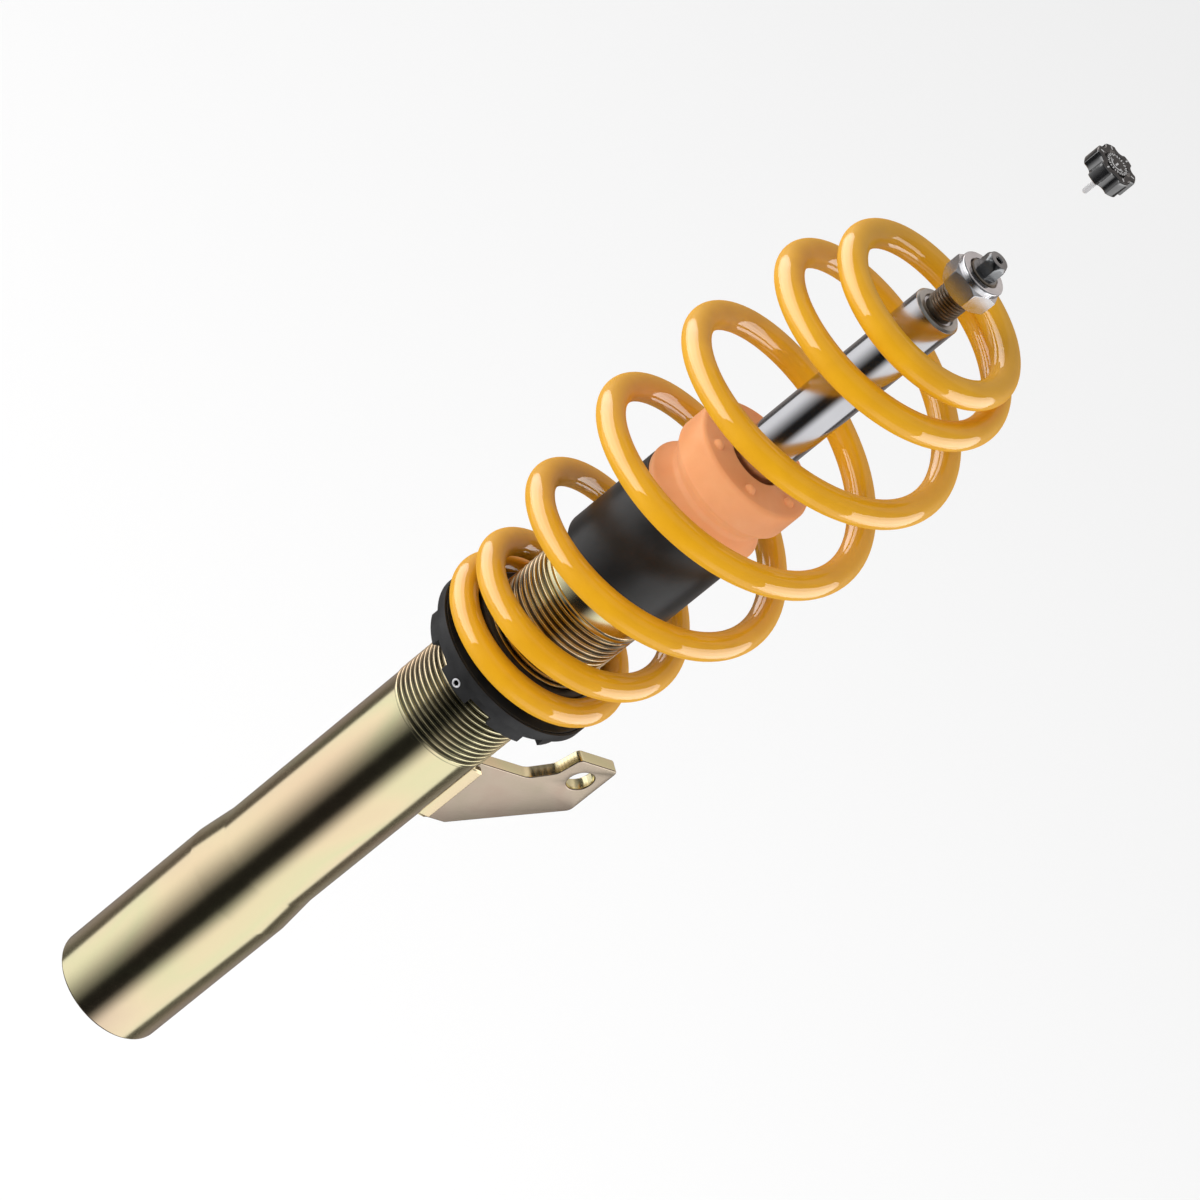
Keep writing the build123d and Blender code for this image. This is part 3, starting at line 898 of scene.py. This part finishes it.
def bump_stop():
    """A waisted foam block whose skirt sits inside the dust tube, with round nubs on its top face."""
    centres = [radians(nub_bearing + i * 360.0 / nub_count) for i in range(nub_count)]

    def nubs(r, z, angles):
        heights = z
        if z > bump_top - 0.1:
            for centre in centres:
                away = np.sqrt(r * r + nub_circle_r ** 2 - 2 * r * nub_circle_r * np.cos(angles - centre))
                heights = heights + nub_height * np.clip(1.0 - (away / nub_r) ** 2, 0.0, 1.0) ** 0.5
        return r, heights

    outside = rounded(
        (bump_bore_r, bump_bottom, 0.8),
        (bump_skirt_r - 3.0, bump_bottom, 0.5),
        (bump_skirt_r, bump_bottom + 4.0, 0.8),
        (bump_skirt_r, dust_top + 0.15, 0.0),
        (dust_r - 0.4, dust_top + 0.15, 0.4),
        (28.7, dust_top + 3.2, 3.6),
        (26.9, 388.8, 3.0),
        (bump_waist_r, bump_waist_height - 1.4, 2.4),
        (bump_waist_r, bump_waist_height + 1.4, 2.4),
        (bump_r - 1.5, 399.9, 1.6),
        (bump_r, 402.4, 1.6),
        (bump_r, bump_top, 2.0),
        (bump_bore_r, bump_top, 0.9),
        steps=6,
    )
    # the flat of the top face gets close rings, which the nubs rise from
    top_face = straight_rows((bump_r - 2.4, bump_top), (bump_bore_r + 1.4, bump_top), 0.3)
    bore_start = 1 + max(i for i, (r, _) in enumerate(outside) if r > nub_circle_r)
    outline = outside[:bore_start] + top_face + outside[bore_start:]
    piece = turned("bump_stop", outline, "bump_foam", 288, nubs, 60.0)
    return settle(piece, "boot", "bump_foam", "bump_stop")


# ---- rod, nut ----
def piston_rod():
    """The hollow rod: piston stud, chromed shaft, relief groove, threaded stud and hexagon tip."""
    def stud(r, z, angles):
        """The hexagon of the tip and the helical thread below it."""
        if z > stud_end + 0.15:
            return np.minimum(r, hexagon_radius(angles, tip_flats, tip_turn)), z
        if z <= rod_face + 1.8 or r <= stud_r - 0.3:
            return r, z
        phase = z / stud_pitch - angles / (2 * pi)
        fade = ease((z - rod_face - 1.8) / 0.8) * ease((stud_end - 0.4 - z) / 0.8)
        return r - stud_thread_depth * groove(phase, 0.44) * fade, z

    def finish_at(centre, _):
        if centre.z < rod_face - 1.05:
            return 0
        if centre.z > stud_end - 0.1:
            return 3
        return 1 if centre.xy.length > stud_r + 0.25 else 2

    shaft = rounded(
        (rod_bore_r, rod_bottom, 0.2),
        (rod_stud_r, rod_bottom, 0.6),
        (rod_stud_r, piston_shoulder, 0.2),
        (rod_r, piston_shoulder, 0.3),
        (rod_r, rod_face - 1.1, 0.5),
        (rod_r - 1.0, rod_face, 0.3),
        (stud_r + 0.8, rod_face, 0.15),
        (stud_r + 0.35, rod_face - relief_reach, 0.15),
        (stud_r - relief_depth, rod_face - relief_reach, 0.2),
        (stud_r - relief_depth, rod_face + relief_reach, 0.2),
        (stud_r, rod_face + 2.0, 0.1),
    )
    thread = straight_rows((stud_r, rod_face + 2.1), (stud_r, stud_end - 0.9), 0.125)
    tip = rounded(
        (stud_r, stud_end - 0.8, 0.1),
        (stud_r - 0.9, stud_end, 0.1),
        (tip_r, stud_end + 0.05, 0.0),
        (tip_r, stud_end + 0.3, 0.0),
        (tip_r, tip_top - 3.0, 0.0),
        (tip_r - 0.3, tip_top - 2.4, 0.0),
        (tip_r - 0.6, tip_top - 1.6, 0.0),
        (tip_r - 1.0, tip_top - 0.9, 0.0),
        (tip_r - 1.4, tip_top, 0.25),
        (tip_bore_r + 0.4, tip_top, 0.2),
        (tip_bore_r, tip_top - 0.5, 0.1),
        (tip_bore_r, tip_top - 3.4, 0.0),
        (rod_bore_r, tip_top - 3.45, 0.0),
    )
    bm = turned_mesh(shaft + thread + tip, 180, stud)
    slots = ["rod_chrome", "face_steel", "stud_steel", "tip_steel"]
    piece = finish_mesh(bm, "piston_rod", slots, 32.0)
    paint(piece, finish_at)
    return settle(piece, "rod", "rod_chrome", "piston_rod")


def lock_nut():
    """A hexagon nut chamfered both ends, with a plain bright collar and a threaded bore."""
    def hexagon(r, z, angles):
        if r > nut_collar_r + 0.05:
            return np.minimum(r, hexagon_radius(angles, nut_flats, nut_turn)), z
        return r, z

    corner_r = nut_flats / 2 / cos(pi / 6) + 0.1
    lower = straight_rows((nut_collar_r - 0.2, nut_bottom), (corner_r, nut_bottom + 1.3), 0.22)
    upper = straight_rows((corner_r, nut_hex_top - 1.3), (nut_collar_r + 0.1, nut_hex_top), 0.22)
    collar_and_bore = rounded(
        (nut_collar_r, nut_hex_top + 0.05, 0.0),
        (nut_collar_r, nut_top, 0.8),
        (nut_bore_r + 0.4, nut_top, 0.1),
        (nut_bore_r, nut_top - 0.4, 0.1),
        (nut_bore_r, nut_bottom + 0.9, 0.1),
    )
    outline = [(nut_bore_r + 0.9, nut_bottom)] + lower + upper + collar_and_bore
    piece = turned("lock_nut", outline, "zinc_nut", 360, hexagon, 24.0)
    return settle(piece, "rod", "zinc_nut", "top_lock_nut")


# ---- knob ----
def knob_body():
    """A glossy knob with scalloped sides, a matt rim and a recess for its face."""
    def scalloped(r, z, angles):
        if r <= knob_recess_r + 0.2:
            return r, z
        half_lobe = pi / knob_lobes
        from_scallop = (angles - radians(knob_scallop_bearing) + half_lobe) % (2 * half_lobe) - half_lobe
        side = knob_scallop_out * np.abs(np.sin(from_scallop))
        reach = np.sqrt(np.clip(knob_scallop_r ** 2 - side ** 2, 0.0, None))
        cut = knob_scallop_out * np.cos(from_scallop) - reach
        cut = np.where(side < knob_scallop_r, cut, 40.0)
        # a soft minimum of the round knob and the scallop's circle rounds the lobes' edges
        sharpness = 5.0
        blended = -np.log(np.exp(-sharpness * knob_r) + np.exp(-sharpness * cut)) / sharpness
        return blended * (r / knob_r), z

    outline = rounded(
        (0.0, knob_bottom, 0.0),
        (knob_recess_r + 1.0, knob_bottom, 0.0),
        (knob_r, knob_bottom, 0.6),
        (knob_r, knob_rim_top, 0.8),
        (knob_recess_r + 1.2, knob_rim_top, 0.2),
        (knob_recess_r, knob_recess_floor, 0.1),
        (0.0, knob_recess_floor, 0.0),
    )
    bm = turned_mesh(outline, 288, scalloped)
    piece = finish_mesh(bm, "knob_body", ["knob_plastic", "knob_face"], 40.0)
    paint(piece, lambda centre, _: centre.z > knob_rim_top - 0.05)
    return settle(piece, "knob", "knob_plastic", "knob_body")


def knob_face():
    outline = rounded(
        (0.0, knob_recess_floor, 0.0),
        (knob_recess_r - 0.1, knob_recess_floor, 0.0),
        (knob_recess_r - 0.1, knob_face_top, 0.2),
        (0.0, knob_face_top, 0.0),
    )
    piece = turned("knob_face", outline, "knob_face", 96)
    return settle(piece, "knob", "knob_plastic", "knob_face_insert")


def knob_marks():
    """Printed ticks, an arc and a pointer on the face, and a tick on each lobe of the rim."""
    marks = bmesh.new()

    def block(bearing, inner, outer, width, top):
        """A thin bar along a radius of the knob."""
        sides = [(-width / 2, inner), (width / 2, inner), (width / 2, outer), (-width / 2, outer)]
        turn = Matrix.Rotation(radians(bearing), 3, "Z")
        below, above = [
            [marks.verts.new(turn @ Vector((x, -y, z)) * mm) for x, y in sides]
            for z in (top - 0.1, top + 0.04)
        ]
        marks.faces.new(below)
        marks.faces.new(above)
        for k in range(4):
            j = (k + 1) % 4
            marks.faces.new((below[k], below[j], above[j], above[k]))

    for i in range(24):
        block(i * 15.0, 4.3 if i % 2 else 3.9, 5.2, 0.5, knob_face_top)
    arc_end, arc_r, arc_width, arc_step = 75.0, 2.9, 0.65, 4.0
    for bearing in np.arange(-arc_end, arc_end, arc_step):
        inner, outer = arc_r - arc_width / 2, arc_r + arc_width / 2
        block(bearing, inner, outer, arc_r * radians(1.1 * arc_step), knob_face_top)
    for bearing in (-arc_end, arc_end):
        block(bearing, arc_r - 0.7, arc_r + 0.7, 0.7, knob_face_top)
    block(0.0, -0.9, 1.7, 0.8, knob_face_top)
    for i in range(knob_lobes):
        block(knob_scallop_bearing + 30.0 + i * 60.0, 7.2, 8.8, 0.6, knob_rim_top)
    piece = finish_mesh(marks, "knob_marks", ["white_print"])
    return settle(piece, "knob", "knob_plastic")


def knob_key():
    """The thin hexagon key under the knob."""
    def hexagon(r, z, angles):
        return np.minimum(r, hexagon_radius(angles, key_flats, key_turn)), z

    outline = [(0.0, key_bottom), (0.85, key_bottom), (1.2, key_bottom + 0.4), (1.2, key_top)]
    outline.append((0.0, key_top))
    piece = turned("hex_key", outline, "screw_steel", 96, hexagon, 30.0)
    return settle(piece, "knob", "bare_steel", "knob_key")


strut_tube()
bracket()
weld_bead()
adjuster_collar()
set_screw()
spring_seat()
spring = coil_spring()
dust_tube()
bump_stop()
piston_rod()
lock_nut()
knob_body()
knob_face()
knob_marks()
knob_key()

# ---- the CAD nodes that stay: the bottom cap, the gland and the damper's inside ----
carried = {
    "yellow_zinc": ["bottom_cap"],
    "soft_brass": ["collar_brass_pad"],
    "ptfe_band": ["guide_bush", "piston_ring"],
    "seal_rubber": ["guide_o_ring", "rod_seal"],
    "bare_steel": [
        "gland_nut", "rod_guide", "inner_cylinder", "adjuster_needle",
        "base_valve_body", "base_valve_shims", "base_valve_rivet",
        "rebound_stop_ring", "upper_shims", "shim_washer",
        "damper_piston", "lower_shims", "piston_nut",
    ],
}
for finish, nodes in carried.items():
    for node in nodes:
        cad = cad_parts[node]
        if not cad.material_slots:
            cad.data.materials.append(None)
        for material_slot in cad.material_slots:
            material_slot.material = finishes[finish].material


# ---- stage: floor, studio and lights ----
floor_height = -0.3
floor_size = 12.0
strut_middle = Vector((0.0, 0.0, 0.3))


def pale_floor():
    bm = bmesh.new()
    bmesh.ops.create_grid(bm, x_segments=2, y_segments=2, size=floor_size / 2)
    mesh = bpy.data.meshes.new("floor")
    bm.to_mesh(mesh)
    bm.free()
    floor = bpy.data.objects.new("floor", mesh)
    floor.location.z = floor_height
    bpy.context.scene.collection.objects.link(floor)
    finish = Finish("pale_floor", (0.93, 0.93, 0.93), roughness=1.0, Specular_IOR_Level=0.0)
    mesh.materials.append(finish.material)
    # the metal mirrors the studio round it and not the floor
    floor.visible_glossy = False
    floor.visible_shadow = False
    return floor


def studio():
    """Plain white light from all round; mirror-like surfaces see tall side boxes in a dark room."""
    world = bpy.data.worlds.new("studio")
    bpy.context.scene.world = world
    world.use_nodes = True
    world.cycles.sampling_method = "NONE"
    nodes = world.node_tree.nodes
    links = world.node_tree.links
    nodes.clear()

    def compute(operation, *values):
        node = nodes.new("ShaderNodeMath")
        node.operation = operation
        for socket, value in zip(node.inputs, values):
            if isinstance(value, (int, float)):
                socket.default_value = value
            else:
                links.new(value, socket)
        return node.outputs[0]

    def rise(value, start, end):
        """0 before start and 1 after end, in degrees, with a smooth step between."""
        node = nodes.new("ShaderNodeMapRange")
        node.interpolation_type = "SMOOTHSTEP"
        node.inputs["From Min"].default_value = radians(start)
        node.inputs["From Max"].default_value = radians(end)
        links.new(value, node.inputs["Value"])
        return node.outputs["Result"]

    def window(value, start, full, last, end):
        """1 from full to last, fading to 0 at start and at end."""
        falling = compute("SUBTRACT", 1.0, rise(value, last, end))
        return compute("MULTIPLY", rise(value, start, full), falling)

    direction = nodes.new("ShaderNodeTexCoord").outputs["Generated"]
    split = nodes.new("ShaderNodeSeparateXYZ")
    links.new(direction, split.inputs[0])
    x, y, z = split.outputs
    bearing = compute("ARCTAN2", x, compute("MULTIPLY", y, -1.0))
    left = compute("MULTIPLY", bearing, -1.0)
    either = compute("ABSOLUTE", bearing)
    elevation = compute("ARCSINE", z)

    # the mirrored room: each light is a window of bearings times a window of elevations
    room = 0.085
    overhead = rise(elevation, 32.0, 58.0)
    left_wall = window(left, 10.0, 84.0, 108.0, 112.0)
    right_wall = window(bearing, 14.0, 50.0, 108.0, 112.0)
    wall_band = window(elevation, -58.0, -47.0, -16.0, -6.0)
    walls = compute("MULTIPLY", compute("ADD", left_wall, right_wall), wall_band)
    left_box = window(left, 36.0, 40.0, 132.0, 137.0)
    right_box = window(bearing, 71.0, 74.0, 125.0, 129.0)
    box_band = window(elevation, -19.0, -16.0, 13.0, 16.0)
    boxes = compute("MULTIPLY", compute("ADD", left_box, right_box), box_band)
    back_band = window(elevation, -18.0, -6.0, 60.0, 80.0)
    back = compute("MULTIPLY", rise(either, 118.0, 140.0), back_band)
    low_back_band = window(elevation, -70.0, -50.0, -24.0, -12.0)
    low_back = compute("MULTIPLY", rise(either, 116.0, 150.0), low_back_band)
    front = window(bearing, -26.0, -8.0, 12.0, 24.0)
    dark_front = compute("MULTIPLY", front, rise(elevation, -80.0, -60.0))
    brightness = room
    for area, strength in (
        (overhead, 0.24),
        (walls, 0.9),
        (boxes, 1.4),
        (back, 0.47),
        (low_back, 0.17),
        (dark_front, -0.85 * room),
    ):
        brightness = compute("ADD", brightness, compute("MULTIPLY", area, strength))
    tint = nodes.new("ShaderNodeMix")
    tint.data_type = "RGBA"
    tint.inputs["A"].default_value = (1.0, 1.0, 1.0, 1.0)
    tint.inputs["B"].default_value = (1.0, 0.91, 0.86, 1.0)
    links.new(rise(either, 112.0, 120.0), tint.inputs["Factor"])
    mirrored = nodes.new("ShaderNodeBackground")
    links.new(tint.outputs["Result"], mirrored.inputs["Color"])
    links.new(brightness, mirrored.inputs["Strength"])

    # the plain light on everything else is a little stronger from the sides and below
    plain = nodes.new("ShaderNodeBackground")
    sides = compute("SUBTRACT", 1.0, rise(elevation, 0.0, 50.0))
    links.new(compute("ADD", 0.62, compute("MULTIPLY", sides, 0.42)), plain.inputs["Strength"])

    mix = nodes.new("ShaderNodeMixShader")
    path = nodes.new("ShaderNodeLightPath")
    links.new(path.outputs["Is Glossy Ray"], mix.inputs["Fac"])
    links.new(plain.outputs[0], mix.inputs[1])
    links.new(mirrored.outputs[0], mix.inputs[2])
    output = nodes.new("ShaderNodeOutputWorld")
    links.new(mix.outputs[0], output.inputs["Surface"])


def only(name, piece):
    """A collection of one piece, for a light that falls on nothing else."""
    collection = bpy.data.collections.new(name)
    collection.objects.link(piece)
    return collection


def area_light(name, width, height, power, receivers):
    light = bpy.data.lights.new(name, "AREA")
    light.shape = "RECTANGLE"
    light.size = width
    light.size_y = height
    light.energy = power
    lamp = bpy.data.objects.new(name, light)
    lamp.light_linking.receiver_collection = receivers
    bpy.context.scene.collection.objects.link(lamp)
    return lamp


def softbox(name, place, target, size, power, receivers=None):
    """A soft light that no mirror-like surface shows."""
    lamp = area_light(name, *size, power, receivers)
    lamp.location = place
    lamp.rotation_mode = "QUATERNION"
    lamp.rotation_quaternion = (Vector(place) - Vector(target)).to_track_quat("Z", "Y")
    lamp.visible_glossy = False


def spring_box(name, first_bearing, last_bearing, receivers):
    """A large box whose mirror image only the spring's gloss shows."""
    distance, radiance = 1.6, 3.6
    lowest, highest = -27.0, 34.0
    width = 2 * distance * tan(radians(last_bearing - first_bearing) / 2)
    height = 2 * distance * tan(radians(highest - lowest) / 2)
    lamp = area_light(name, width, height, radiance * pi * width * height, receivers)
    elevation = radians((lowest + highest) / 2)
    outward = bearing_point(cos(elevation), (first_bearing + last_bearing) / 2, sin(elevation))
    across = Vector((0.0, 0.0, 1.0)).cross(outward).normalized()
    turn = Matrix((across, outward.cross(across), outward)).transposed().to_4x4()
    lamp.matrix_world = Matrix.Translation(strut_middle + outward * distance) @ turn
    lamp.visible_camera = False
    lamp.visible_diffuse = False


def camera():
    """The camera looks down on the upright strut and is rolled, so that the strut lies on the diagonal."""
    tilt = radians(58.5)
    roll = radians(39.15)
    distance = 2.544
    rise = 0.2713
    aside = 0.0043
    forward = Vector((0.0, sin(tilt), -cos(tilt)))
    strut_way = Vector((0.0, cos(tilt), sin(tilt)))
    side_way = Vector((1.0, 0.0, 0.0))
    right = strut_way * cos(roll) + side_way * sin(roll)
    up = strut_way * sin(roll) - side_way * cos(roll)
    data = bpy.data.cameras.new("camera")
    data.sensor_width = 36.0
    data.lens = 175.2
    data.clip_start = 0.1
    data.clip_end = 50.0
    eye = bpy.data.objects.new("camera", data)
    turn = Matrix((right, up, -forward)).transposed().to_4x4()
    place = forward * -distance + strut_way * rise + side_way * aside
    eye.matrix_world = Matrix.Translation(place) @ turn
    bpy.context.scene.collection.objects.link(eye)
    bpy.context.scene.camera = eye


floor = pale_floor()
studio()
spring_only = only("spring_gloss", spring)
spring_box("left_box", -137.0, -37.0, spring_only)
spring_box("right_box", 72.0, 129.0, spring_only)
softbox("key", (-1.5, -1.1, 0.9), strut_middle, (1.2, 1.2), 16.0)
softbox("fill", (1.5, -0.6, 0.6), strut_middle, (1.0, 1.4), 7.0)
softbox("floor_light", (0.0, 0.6, 3.0), (0.0, 0.6, 0.0), (6.0, 6.0), 80.0, only("floor_only", floor))
camera()
bpy.context.scene.view_settings.view_transform = "Standard"
